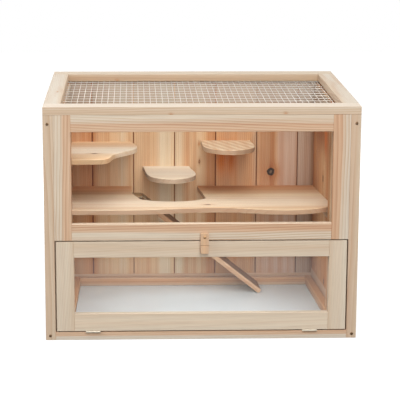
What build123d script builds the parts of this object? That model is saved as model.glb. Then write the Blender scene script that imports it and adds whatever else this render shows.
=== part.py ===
from build123d import *
import math
import os

os.makedirs("parts", exist_ok=True)

# A wooden hamster cage: a posted cabinet lined with tongue-and-groove boards, with a fixed window
# above a drop-down door, a sloping wire-mesh lid, a platform, three shelves and a hinged ramp.
# Millimetres. The front faces -Y, and the origin is the middle of the underside.

# Overall size
width = 600
depth = 370
front_height = 450
back_height = 494

# Corner posts, the rails between them, and the rebate that the window and the door close into
post_width = 26
post_depth = 38
post_face = 19
side_rail_height = 30
back_rail_height = 40
panel_thickness = 15
stop_clearance = 0.4
eased_edge = 0.6

# Board lining: cover width of one board, and the tongue that joins it to the next
board_thickness = 12
board_cover = 89.2
first_board = 56
board_bevel = 0.8
tongue_length = 6
tongue_thickness = 4
tongue_clearance = 0.2
seam_gap = 1.8
back_recess = 13
wall_drop = 5
side_sole_height = 63
back_sole_height = 51

# Floor, its bearers and the beads that hold it down
floor_top = 27
floor_thickness = 5
bearer_width = 20
bead_width = 15
bead_height = 18
strip_bevel = 1.5
batten_width = 50
batten_thickness = 12

# Window and door frames, each a clear sheet held in grooves
sill_height = 15.3
door_height = 175.5
panel_gap = 2
door_side_clearance = 2.4
window_stile = 33
window_rail = 32
door_stile = 34
door_top_rail = 31
door_bottom_rail = 34
sheet_thickness = 2
groove_depth = 6
sheet_clearance = 0.3

# Lid frame and its welded mesh
roof_rail_width = 32
roof_rail_thickness = 15
seat_gap = 0.3
wire_radius = 0.5
mesh_pitch_across = 12
mesh_pitch_deep = 25
mesh_side_margin = 1.5
mesh_end_margin = 5
wire_gap = 0.02

# Platform, shelves and ramp: heights of their top faces
platform_top = 246.5
left_shelf_top = 344
centre_shelf_top = 290
right_shelf_top = 346
shelf_thickness = 10
centre_shelf_width = 102
right_shelf_width = 108
centre_shelf_depth = 191
right_shelf_depth = 173
shelf_nose = 82
centre_shelf_lean = 8
cleat = 12
corner_radius = 20
notch_clearance = 0.5
ramp_width = 72
ramp_angle = 38.2
ramp_rounding = 4
ramp_start = 3
ramp_side_clearance = 1
floor_clearance = 0.3
shelf_edge = 1

# Pressed-steel butt hinges
hinge_length = 28
hinge_spacing = 418
hinge_reach = 13
leaf_thickness = 0.9
barrel_radius = 2
pin_radius = 0.9
pin_fit = 0.03
pin_clearance = 0.06
knuckle_gap = 0.15
knuckle_clearance = 0.25
ramp_hinge_length = 44
ramp_fixed_reach = 51
ramp_moving_reach = 26

# Turn-button and screws
button_width = 16
button_height = 40
button_thickness = 9
button_pivot_drop = 7.6
button_offset = 5
button_gap = 0.5
button_corner = 1.5
kerf_width = 3
kerf_depth = 1.6
pivot_radius = 1.8
pivot_head_radius = 3.4
pivot_head_height = 1.6
pivot_depth = 10
screw_radius = 1.6
screw_head_radius = 3
screw_head_height = 1.2
screw_fit = 0.05
front_screw_length = 55
side_screw_length = 33
screw_inset = 8.5
screw_drop = 32
side_screw_front = 27
side_screw_back = 19

# Planes and faces that the pieces share
half = width / 2
front = -depth / 2
back = depth / 2
inner = half - post_width
face_inner = half - post_face
rebate_depth = panel_thickness + stop_clearance
room_half = inner - board_thickness
room_front = front + rebate_depth
room_back = back - back_recess - board_thickness
room_depth = room_back - room_front
rise = (back_height - front_height) / depth
slope = math.atan(rise)
door_low = sill_height + panel_gap
door_high = door_low + door_height
window_low = door_high + panel_gap
tall = max(front_height, back_height) + 10


def roof_top(y):
    """Height of the lid's upper face at a place front to back."""
    return front_height + (y - front) * rise


def roof_under(y):
    """Height of the lid frame's lower face."""
    return roof_top(y) - roof_rail_thickness / math.cos(slope)


def seat(y):
    """Height of the frame tops that the closed lid sits on."""
    return roof_under(y) - seat_gap


window_high = seat(front)


def plan(across, deep):
    """A point in the room, as parts of its half width from the middle and its depth from the back."""
    return (across * room_half, room_back - deep * room_depth)


def save(piece, name):
    """Label a finished piece and write it as one STEP file."""
    piece.part.label = name
    export_step(piece.part, f"parts/{name}.step")


def block(x, y, z, mode=Mode.ADD):
    """A squared block between two limits on each axis, in the part being built."""
    with Locations(((x[0] + x[1]) / 2, (y[0] + y[1]) / 2, (z[0] + z[1]) / 2)):
        Box(x[1] - x[0], y[1] - y[0], z[1] - z[0], mode=mode)


def trim_to_roof(drop):
    """Saw the top of the part being built to the lid's slope, a set drop below the lid frame."""
    saw_cut = Plane(origin=(0, front, roof_under(front) - drop), z_dir=(0, -rise, 1))
    split(bisect_by=saw_cut, keep=Keep.BOTTOM)


def side_view_bar(x, y, low, high):
    """A bar across a stretch of width, from its side-view outline between two sloping lines."""
    with BuildSketch(Plane.YZ.offset(x[0])) as outline:
        with BuildLine():
            Polyline((y[0], low(y[0])), (y[1], low(y[1])), (y[1], high(y[1])), (y[0], high(y[0])), close=True)
        make_face()
    extrude(outline.sketch, amount=x[1] - x[0])


def ease(piece, direction, end):
    """Take the sharp edge off the outermost face of the part being built, seen along a direction."""
    chamfer(piece.faces().sort_by(direction)[end].edges(), eased_edge)


def mirrored(sign, near, far):
    """Limits of a piece on one side of the middle, in rising order."""
    return tuple(sorted((sign * near, sign * far)))


sides = (("left", -1), ("right", 1))

# Screws that tie the posts to the rails and boards: planes on the wood, pointing in
front_screws = [
    Plane((sign * (half - screw_inset), front, z), z_dir=(0, 1, 0))
    for sign in (-1, 1)
    for z in (screw_inset, front_height - screw_drop)
]
side_screws = [
    Plane((sign * half, y, z), z_dir=(-sign, 0, 0))
    for sign in (-1, 1)
    for y in (front + side_screw_front, back - side_screw_back)
    for z in (0.4 * front_height, 0.83 * front_height)
]


def screw_stems(radius, mode):
    """The eight-sided stems of all the frame screws, or the holes that they need."""
    for places, length in ((front_screws, front_screw_length), (side_screws, side_screw_length)):
        with BuildSketch(*places) as stems:
            RegularPolygon(radius, 8)
        extrude(stems.sketch, amount=length, mode=mode)


def drill_screw_holes():
    """Drill the part being built for the frame screws that pass through it."""
    screw_stems(screw_radius + screw_fit, Mode.SUBTRACT)


# Corner posts, sawn to the slope, with a rebate down each front post
for side, sign in sides:
    with BuildPart() as front_post:
        block(mirrored(sign, inner, half), (front, front + post_depth), (0, tall))
        block(mirrored(sign, inner, face_inner), (front, front + rebate_depth), (0, tall), Mode.SUBTRACT)
        ease(front_post, Axis.Y, 0)
        trim_to_roof(seat_gap)
        drill_screw_holes()
    save(front_post, f"front_post_{side}")

    with BuildPart() as rear_post:
        block(mirrored(sign, inner, half), (back - post_depth, back), (0, tall))
        ease(rear_post, Axis.Y, -1)
        trim_to_roof(seat_gap)
        drill_screw_holes()
    save(rear_post, f"rear_post_{side}")

# Sloping side rails between the posts, and the level rail across the back
for side, sign in sides:
    with BuildPart() as side_top_rail:
        side_view_bar(
            mirrored(sign, inner, half),
            (front + post_depth, back - post_depth),
            lambda y: seat(y) - side_rail_height,
            seat,
        )
        drill_screw_holes()
    save(side_top_rail, f"side_top_rail_{side}")

back_rail_low = seat(back) - back_rail_height
with BuildPart() as back_top_rail:
    side_view_bar((-inner, inner), (back - back_recess, back), lambda y: back_rail_low, seat)
save(back_top_rail, "back_top_rail")

# Sole rails: the side ones are notched at the ends to fit behind the posts
for side, sign in sides:
    with BuildPart() as sole_rail:
        block(mirrored(sign, room_half, inner), (room_front, room_back), (0, side_sole_height))
        block(mirrored(sign, inner, half), (front + post_depth, back - post_depth), (0, side_sole_height))
        drill_screw_holes()
    save(sole_rail, f"sole_rail_{side}")

with BuildPart() as sole_rail_back:
    block((-inner, inner), (room_back, back), (0, back_sole_height))
save(sole_rail_back, "sole_rail_back")

# Sill under the door
with BuildPart() as front_sill:
    block((-face_inner, face_inner), (front, front + panel_thickness), (0, sill_height))
    ease(front_sill, Axis.Y, 0)
save(front_sill, "front_sill")

# Floor sheet on three bearers, with beads around three of its edges
floor_under = floor_top - floor_thickness
bead_top = floor_top + bead_height
bearer_places = (room_front + bearer_width / 2, 0, room_back - bearer_width / 2)

with BuildPart() as floor_bearers:
    with Locations(*[(0, y, floor_under / 2) for y in bearer_places]):
        Box(2 * room_half, bearer_width, floor_under)
save(floor_bearers, "floor_bearers")

with BuildPart() as floor_panel:
    block((-room_half, room_half), (room_front, room_back), (floor_under, floor_top))
save(floor_panel, "floor_panel")


def bevel_strip(strip, axis):
    """Plane a bevel along the edges of a strip."""
    chamfer(strip.edges().filter_by(axis), strip_bevel)


for side, sign in sides:
    with BuildPart() as floor_bead:
        block(
            mirrored(sign, room_half - bead_width, room_half),
            (room_front, room_back),
            (floor_top, bead_top),
        )
        bevel_strip(floor_bead, Axis.Y)
    save(floor_bead, f"floor_bead_{side}")

with BuildPart() as floor_bead_back:
    block(
        (bead_width - room_half, room_half - bead_width),
        (room_back - bead_width, room_back),
        (floor_top, bead_top),
    )
    bevel_strip(floor_bead_back, Axis.X)
save(floor_bead_back, "floor_bead_back")


def board(plane, start, end, base, tongue, groove):
    """A bevelled lining board. The plane's X runs along the wall, and its Y goes out from the room."""
    middle = board_thickness / 2
    end -= seam_gap if tongue else 0
    with BuildSketch(plane.offset(base)) as section:
        with Locations(((start + end) / 2, middle)):
            Rectangle(end - start, board_thickness)
        chamfer(section.vertices().group_by(Axis.Y)[0], board_bevel)
        if tongue:
            with Locations((end + tongue_length / 2, middle)):
                Rectangle(tongue_length, tongue_thickness)
        if groove:
            groove_length = tongue_length + tongue_clearance
            with Locations((start + groove_length / 2, middle)):
                Rectangle(groove_length, tongue_thickness + 2 * tongue_clearance, mode=Mode.SUBTRACT)
    extrude(section.sketch, amount=tall - base)


def seams(start, end, first):
    """Edges of the boards along a wall: a ripped first board, whole boards, and a ripped last one."""
    whole = int((end - start - first - tongue_length) / board_cover)
    return [start] + [start + first + i * board_cover for i in range(whole + 1)] + [end]


# Back wall, each board standing on the back sole rail
back_wall = Plane(origin=(0, room_back, 0), x_dir=(1, 0, 0), z_dir=(0, 0, 1))
back_edges = seams(-inner, inner, first_board)
last_board = len(back_edges) - 1
for number in range(1, last_board + 1):
    with BuildPart() as back_board:
        board(
            back_wall,
            back_edges[number - 1],
            back_edges[number],
            back_sole_height,
            tongue=number < last_board,
            groove=number > 1,
        )
        trim_to_roof(wall_drop)
        drill_screw_holes()
    save(back_board, f"back_board_{number}")

# Side walls, boarded from the front to the back wall
left_wall = Plane(origin=(-room_half, 0, 0), x_dir=(0, 1, 0), z_dir=(0, 0, 1))
right_wall = Plane(origin=(room_half, 0, 0), x_dir=(0, -1, 0), z_dir=(0, 0, 1))
side_edges = seams(room_front, room_back, board_cover)
for side, wall in (("left", left_wall), ("right", right_wall)):
    edges = side_edges if side == "left" else [-y for y in reversed(side_edges)]
    last_board = len(edges) - 1
    with BuildPart() as wall_boards:
        for number in range(1, last_board + 1):
            board(
                wall,
                edges[number - 1],
                edges[number],
                side_sole_height,
                tongue=number < last_board,
                groove=number > 1,
            )
        trim_to_roof(wall_drop)
        drill_screw_holes()
    save(wall_boards, f"{side}_wall_boards")

# Upright battens over the front ends of the side boards, standing on the floor beads
for side, sign in sides:
    with BuildPart() as corner_batten:
        block(
            mirrored(sign, room_half - batten_thickness, room_half),
            (room_front, room_front + batten_width),
            (bead_top, tall),
        )
        trim_to_roof(wall_drop)
    save(corner_batten, f"corner_batten_{side}")

# The window and the door: stiles and rails grooved for a clear sheet
groove_middle = front + panel_thickness / 2
groove_limits = (
    groove_middle - sheet_thickness / 2 - sheet_clearance,
    groove_middle + sheet_thickness / 2 + sheet_clearance,
)
panel_limits = (front, front + panel_thickness)

# The turn-button's screw goes into the window's bottom rail
pivot_height = window_low + button_pivot_drop
button_face = front - button_gap - button_thickness
pivot = Plane((button_offset, button_face, pivot_height), z_dir=(0, 1, 0))
pivot_length = button_thickness + button_gap + pivot_depth
into_wood = (Align.CENTER, Align.CENTER, Align.MIN)


def glazed_frame(name, half_width, z, stile, bottom_rail, top_rail, latch_screw=False):
    """A frame of two stiles and two rails round a clear sheet, each piece in a node of its own."""
    opening = half_width - stile
    low_edge = z[0] + bottom_rail
    high_edge = z[1] - top_rail
    for side, sign in sides:
        with BuildPart() as upright:
            block(mirrored(sign, opening, half_width), panel_limits, z)
            ease(upright, Axis.Y, 0)
            block(
                mirrored(sign, opening, opening + groove_depth),
                groove_limits,
                (low_edge - groove_depth, high_edge + groove_depth),
                Mode.SUBTRACT,
            )
        save(upright, f"{name}_stile_{side}")

    with BuildPart() as lower:
        block((-opening, opening), panel_limits, (z[0], low_edge))
        ease(lower, Axis.Y, 0)
        block((-opening, opening), groove_limits, (low_edge - groove_depth, low_edge), Mode.SUBTRACT)
        if latch_screw:
            with Locations(pivot):
                Cylinder(pivot_radius + screw_fit, pivot_length, align=into_wood, mode=Mode.SUBTRACT)
    save(lower, f"{name}_rail_bottom")

    with BuildPart() as upper:
        block((-opening, opening), panel_limits, (high_edge, z[1]))
        ease(upper, Axis.Y, 0)
        block((-opening, opening), groove_limits, (high_edge, high_edge + groove_depth), Mode.SUBTRACT)
    save(upper, f"{name}_rail_top")

    held = groove_depth - sheet_clearance
    with BuildPart() as sheet:
        block(
            (-opening - held, opening + held),
            (groove_middle - sheet_thickness / 2, groove_middle + sheet_thickness / 2),
            (low_edge - held, high_edge + held),
        )
    save(sheet, f"{name}_pane")


glazed_frame("window", face_inner, (window_low, window_high), window_stile, window_rail, window_rail, True)
door_half = face_inner - door_side_clearance
glazed_frame("door", door_half, (door_low, door_high), door_stile, door_bottom_rail, door_top_rail)

# Platform: a wavy front edge, and a passage cut in from the back wall for the ramp
platform_under = platform_top - shelf_thickness
batten_back = room_front + batten_width + notch_clearance
batten_inner = room_half - batten_thickness - notch_clearance
cutout_corner = plan(-0.443, 0.525)


def batten_notch(sign):
    """Cut a shelf away where the corner batten stands."""
    block(mirrored(sign, batten_inner, half), (front, batten_back), (0, tall), Mode.SUBTRACT)


def soften_shelf(shelf):
    """Sand a bevel along the curved free edges of a shelf."""
    rims = shelf.faces().filter_by(Plane.XY).edges()
    chamfer(rims.filter_by(GeomType.LINE, reverse=True), shelf_edge)


with BuildPart() as platform:
    with BuildSketch(Plane.XY.offset(platform_under)):
        with BuildLine():
            wave = Spline(
                plan(-1, 0.907),
                plan(-0.42, 0.91),
                plan(0.21, 0.853),
                plan(0.656, 0.937),
                plan(1, 0.804),
                tangents=((1, 0), (0.62, 0.79)),
            )
            Polyline(wave @ 1, plan(1, 0), plan(-1, 0), wave @ 0)
        make_face()
    extrude(amount=shelf_thickness)
    with BuildSketch(Plane.XY.offset(platform_under)) as cutout:
        with BuildLine():
            nose = ThreePointArc(cutout_corner, plan(-0.206, 0.622), plan(0.069, 0.5))
            Polyline(
                nose @ 1,
                plan(0.034, 0),
                plan(0.034, -0.1),
                plan(-0.511, -0.1),
                plan(-0.511, 0.285),
                nose @ 0,
            )
        make_face()
        rounded = cutout.vertices().sort_by_distance((*cutout_corner, platform_under))[0]
        fillet(rounded, corner_radius)
    extrude(amount=shelf_thickness, mode=Mode.SUBTRACT)
    batten_notch(-1)
    batten_notch(1)
    soften_shelf(platform)
save(platform, "platform")

# Cleats under the platform's ends
for side, sign in sides:
    with BuildPart() as platform_cleat:
        block(
            mirrored(sign, room_half - cleat, room_half),
            (batten_back, room_back),
            (platform_under - cleat, platform_under),
        )
    save(platform_cleat, f"platform_cleat_{side}")

# Left shelf: across the left wall, with an S-curved free edge
with BuildPart() as left_shelf:
    with BuildSketch(Plane.XY.offset(left_shelf_top - shelf_thickness)):
        with BuildLine():
            straight = Line(plan(-1, 0.895), plan(-0.79, 0.895))
            bend = Spline(
                straight @ 1,
                plan(-0.656, 0.7),
                plan(-0.56, 0.51),
                plan(-0.466, 0.29),
                tangents=((1, 0), (0, 1)),
            )
            end = ThreePointArc(bend @ 1, plan(-0.478, 0.15), plan(-0.525, 0))
            Polyline(end @ 1, plan(-1, 0), straight @ 0)
        make_face()
    extrude(amount=shelf_thickness)
    batten_notch(-1)
    soften_shelf(left_shelf)
save(left_shelf, "left_shelf")


def tongue_shelf(name, across, shelf_width, lean, reach, top):
    """A shelf fixed to the back wall, with a half-oval front end that may lean over to one side."""
    x = across * room_half
    shoulder = room_back - reach + shelf_nose
    with BuildPart() as shelf:
        with BuildSketch(Plane.XY.offset(top - shelf_thickness)):
            with BuildLine():
                oval = EllipticalCenterArc(
                    (x, shoulder), shelf_width / 2, shelf_nose, 180, arc_size=180, mode=Mode.PRIVATE
                )
                rim = Spline(
                    (x - shelf_width / 2 - lean, room_back),
                    (x - shelf_width / 2 - lean / 2, (room_back + shoulder) / 2),
                    *(oval @ part for part in (0.04, 0.25, 0.5, 0.75, 0.96)),
                    (x + shelf_width / 2 - lean / 2, (room_back + shoulder) / 2),
                    (x + shelf_width / 2 - lean, room_back),
                )
                Line(rim @ 1, rim @ 0)
            make_face()
        extrude(amount=shelf_thickness)
        soften_shelf(shelf)
    save(shelf, name)


tongue_shelf(
    "centre_shelf", -0.195, centre_shelf_width, centre_shelf_lean, centre_shelf_depth, centre_shelf_top
)
tongue_shelf("right_shelf", 0.267, right_shelf_width, 0, right_shelf_depth, right_shelf_top)

# Ramp: a plank hung from the platform's underside, its rounded foot just on the floor
leaf_outside = barrel_radius
leaf_inside = barrel_radius - leaf_thickness
ramp_back = room_back - bead_width - ramp_side_clearance
ramp_middle = ramp_back - ramp_width / 2
ramp_axis_x = plan(-0.435, 0)[0]
ramp_axis_z = platform_under - leaf_outside
ramp_tilt = math.radians(ramp_angle)
ramp_axis = Plane((ramp_axis_x, ramp_middle, ramp_axis_z), x_dir=(0, 1, 0), z_dir=(0, 0, 1))
ramp_plane = Plane(
    ramp_axis.origin,
    x_dir=(0, -1, 0),
    z_dir=(math.sin(ramp_tilt), 0, math.cos(ramp_tilt)),
)
ramp_side = Plane(ramp_axis.origin, x_dir=ramp_plane.y_dir, z_dir=ramp_plane.x_dir)
foot_drop = ramp_axis_z - floor_top - floor_clearance - ramp_rounding
foot_level = shelf_thickness - leaf_inside - ramp_rounding
ramp_end = (foot_drop - foot_level * math.cos(ramp_tilt)) / math.sin(ramp_tilt) + ramp_rounding

with BuildPart() as ramp:
    with BuildSketch(ramp_side) as plank:
        with Locations(((ramp_start + ramp_end) / 2, leaf_inside - shelf_thickness / 2)):
            Rectangle(ramp_end - ramp_start, shelf_thickness)
        fillet(plank.vertices().group_by(Axis.X)[-1], ramp_rounding)
    extrude(amount=ramp_width / 2, both=True)
    long_edges = ramp.edges().filter_by(Axis(ramp_axis.origin, ramp_plane.y_dir))
    chamfer(long_edges, eased_edge)
save(ramp, "ramp")


def hinge_leaves(name, axis, centres, length, plate, reach, outer):
    """Leaves rolled round a pin on the plane's X. An outer leaf has two knuckles, its mate one between."""
    third = length / 3
    fit = pin_fit if outer else pin_clearance
    ends = [c + s * third for c in centres for s in (-1, 1)]
    own, mate = (ends, centres) if outer else (centres, ends)
    across = (0, 90, 0)
    with BuildPart(axis) as leaves:
        with Locations(*[(c, reach / 2, sum(plate) / 2) for c in centres]):
            Box(length, reach, plate[1] - plate[0])
        with Locations(*[(c, 0, 0) for c in mate]):
            relief = third + 2 * knuckle_gap
            Cylinder(barrel_radius + knuckle_clearance, relief, rotation=across, mode=Mode.SUBTRACT)
        with Locations(*[(c, 0, 0) for c in own]):
            Cylinder(barrel_radius, third, rotation=across)
        with Locations(*[(c, 0, 0) for c in centres]):
            Cylinder(pin_radius + fit, length + 1, rotation=across, mode=Mode.SUBTRACT)
    save(leaves, name)


# Two hinges under the door, their leaves folded in the gap over the sill
hinge_centres = (-hinge_spacing / 2, hinge_spacing / 2)
barrel_stand = barrel_radius + 0.2
door_axis = Plane((0, front - barrel_stand, sill_height + panel_gap / 2), x_dir=(1, 0, 0), z_dir=(0, 0, 1))
sill_plate = (-panel_gap / 2, leaf_thickness - panel_gap / 2)
door_plate = (panel_gap / 2 - leaf_thickness, panel_gap / 2)
hinge_leaves("door_hinge_sill_leaves", door_axis, hinge_centres, hinge_length, sill_plate, hinge_reach, True)
hinge_leaves("door_hinge_door_leaves", door_axis, hinge_centres, hinge_length, door_plate, hinge_reach, False)

# Two hinges on the back of the lid, one leaf down the back rail and one up the lid's rear rail
lid_axis = Plane((0, back + barrel_stand, seat(back) + seat_gap / 2), x_dir=(1, 0, 0), z_dir=(0, 1, 0))
lid_axis_up = Plane(lid_axis.origin, x_dir=(1, 0, 0), z_dir=(0, -1, 0))
down_plate = (-barrel_stand, leaf_thickness - barrel_stand)
up_plate = (barrel_stand - leaf_thickness, barrel_stand)
hinge_leaves("roof_hinge_frame_leaves", lid_axis, hinge_centres, hinge_length, down_plate, hinge_reach, True)
hinge_leaves("roof_hinge_roof_leaves", lid_axis_up, hinge_centres, hinge_length, up_plate, hinge_reach, False)

# Strap hinge of the ramp: a long leaf under the platform and a short one on the plank
strap_plate = (leaf_inside, leaf_outside)
strap = ((0,), ramp_hinge_length, strap_plate)
hinge_leaves("ramp_hinge_platform_leaf", ramp_axis, *strap, ramp_fixed_reach, True)
hinge_leaves("ramp_hinge_ramp_leaf", ramp_plane, *strap, ramp_moving_reach, False)

# Pins of all the hinges
with BuildPart() as hinge_pins:
    for axis in (door_axis, lid_axis):
        with Locations(*[Plane(axis.from_local_coords((c, 0, 0)), z_dir=axis.x_dir) for c in hinge_centres]):
            Cylinder(pin_radius, hinge_length)
    with Locations(Plane(ramp_axis.origin, z_dir=ramp_axis.x_dir)):
        Cylinder(pin_radius, ramp_hinge_length)
save(hinge_pins, "hinge_pins")

# Turn-button: a wooden bar with a saw kerf across its face and a bevelled top
button_top = pivot_height + button_pivot_drop
button_low = button_top - button_height
button_limits = (button_offset - button_width / 2, button_offset + button_width / 2)
kerf_height = button_low + 0.38 * button_height
with BuildPart() as turn_button:
    block(button_limits, (button_face, front - button_gap), (button_low, button_top))
    chamfer(turn_button.edges().filter_by(Axis.Y), button_corner)
    ease(turn_button, Axis.Y, 0)
    with BuildSketch(Plane.YZ.offset(button_limits[0])):
        with BuildLine():
            Polyline(
                (button_face - 0.1, kerf_height - kerf_width / 2),
                (button_face + kerf_depth, kerf_height),
                (button_face - 0.1, kerf_height + kerf_width / 2),
                close=True,
            )
        make_face()
    extrude(amount=button_width, mode=Mode.SUBTRACT)
    with Locations(pivot):
        Cylinder(pivot_radius + pin_clearance, 3 * button_thickness, mode=Mode.SUBTRACT)
save(turn_button, "turn_button")

with BuildPart() as turn_button_screw:
    with Locations(pivot):
        Cylinder(pivot_radius, pivot_length, align=into_wood)
    with Locations(pivot.offset(-0.2)):
        Cylinder(pivot_head_radius, pivot_head_height, align=(Align.CENTER, Align.CENTER, Align.MAX))
    with Locations(pivot.offset(-0.1)):
        Cylinder(pivot_radius, 0.2)
    ease(turn_button_screw, Axis.Y, 0)
save(turn_button_screw, "turn_button_screw")

# Frame screws with low round heads
with BuildPart() as frame_screws:
    screw_stems(screw_radius, Mode.ADD)
    with BuildSketch(*front_screws, *side_screws):
        RegularPolygon(screw_head_radius, 12)
    extrude(amount=-screw_head_height)
save(frame_screws, "frame_screws")

# Lid frame: front and back rails over the full width, side rails between them
front_rail_end = front + roof_rail_width
back_rail_start = back - roof_rail_width
for name, x, y in (
    ("front", (-half, half), (front, front_rail_end)),
    ("back", (-half, half), (back_rail_start, back)),
    ("left", (-half, roof_rail_width - half), (front_rail_end, back_rail_start)),
    ("right", (half - roof_rail_width, half), (front_rail_end, back_rail_start)),
):
    with BuildPart() as roof_rail:
        side_view_bar(x, y, roof_under, roof_top)
        ease(roof_rail, Axis.Z, -1)
    save(roof_rail, f"roof_rail_{name}")

# Welded mesh under the lid frame: close line wires front to back, cross wires beneath them
mesh_half = inner - mesh_side_margin
mesh_front = front + panel_thickness + mesh_end_margin
mesh_back = back - back_recess - mesh_end_margin
line_count = 2 * int(mesh_half / mesh_pitch_across) + 1
first_cross = mesh_front + mesh_pitch_deep / 2
cross_count = int((mesh_back - first_cross) / mesh_pitch_deep) + 1
run = (mesh_back - mesh_front) / math.cos(slope)
along_slope = (0, math.cos(slope), math.sin(slope))
line_drop = (wire_radius + wire_gap) / math.cos(slope)
cross_drop = (3 * wire_radius + 2 * wire_gap) / math.cos(slope)

line_start = Plane((0, mesh_front, roof_under(mesh_front) - line_drop), x_dir=(1, 0, 0), z_dir=along_slope)
with BuildPart() as mesh_line_wires:
    with BuildSketch(line_start):
        with GridLocations(mesh_pitch_across, mesh_pitch_across, line_count, 1):
            RegularPolygon(wire_radius, 8)
    extrude(amount=run)
save(mesh_line_wires, "mesh_line_wires")

cross_places = [first_cross + number * mesh_pitch_deep for number in range(cross_count)]
with BuildPart() as mesh_cross_wires:
    with BuildSketch(*[Plane((0, y, roof_under(y) - cross_drop), z_dir=(1, 0, 0)) for y in cross_places]):
        RegularPolygon(wire_radius, 8)
    extrude(amount=mesh_half, both=True)
save(mesh_cross_wires, "mesh_cross_wires")
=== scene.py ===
import math

import bmesh
import bpy
from mathutils import Matrix, Vector


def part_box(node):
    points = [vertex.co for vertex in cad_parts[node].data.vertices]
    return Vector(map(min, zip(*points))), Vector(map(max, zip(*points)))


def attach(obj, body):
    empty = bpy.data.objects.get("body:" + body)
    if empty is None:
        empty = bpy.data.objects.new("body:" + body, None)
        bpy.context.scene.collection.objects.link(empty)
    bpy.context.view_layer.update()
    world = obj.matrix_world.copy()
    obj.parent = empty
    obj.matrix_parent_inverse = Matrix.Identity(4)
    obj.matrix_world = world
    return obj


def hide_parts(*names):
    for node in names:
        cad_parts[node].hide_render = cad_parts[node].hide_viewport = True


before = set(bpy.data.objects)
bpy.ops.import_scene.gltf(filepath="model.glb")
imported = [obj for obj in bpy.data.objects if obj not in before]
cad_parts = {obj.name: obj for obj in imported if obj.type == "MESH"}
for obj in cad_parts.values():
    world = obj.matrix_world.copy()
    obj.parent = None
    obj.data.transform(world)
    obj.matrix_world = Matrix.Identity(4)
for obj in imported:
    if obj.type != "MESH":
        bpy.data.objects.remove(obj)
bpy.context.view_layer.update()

# Four corner posts
# Sawn fir, 26 by 38 mm, planed on four sides and left bare. The frames and rails are screwed
# to them; the grain runs up the post, and each one is cut from another stick.


def tone(red, green, blue):
    """A colour as a paint chart gives it, 0 to 255, in Blender's linear values."""
    chart = [value / 255 for value in (red, green, blue)]
    linear = [value / 12.92 if value < 0.04 else ((value + 0.055) / 1.055) ** 2.4
              for value in chart]
    return linear + [1]


beige = tone(199, 179, 155)
blush = tone(196, 171, 146)
salmon = tone(202, 172, 144)


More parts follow.
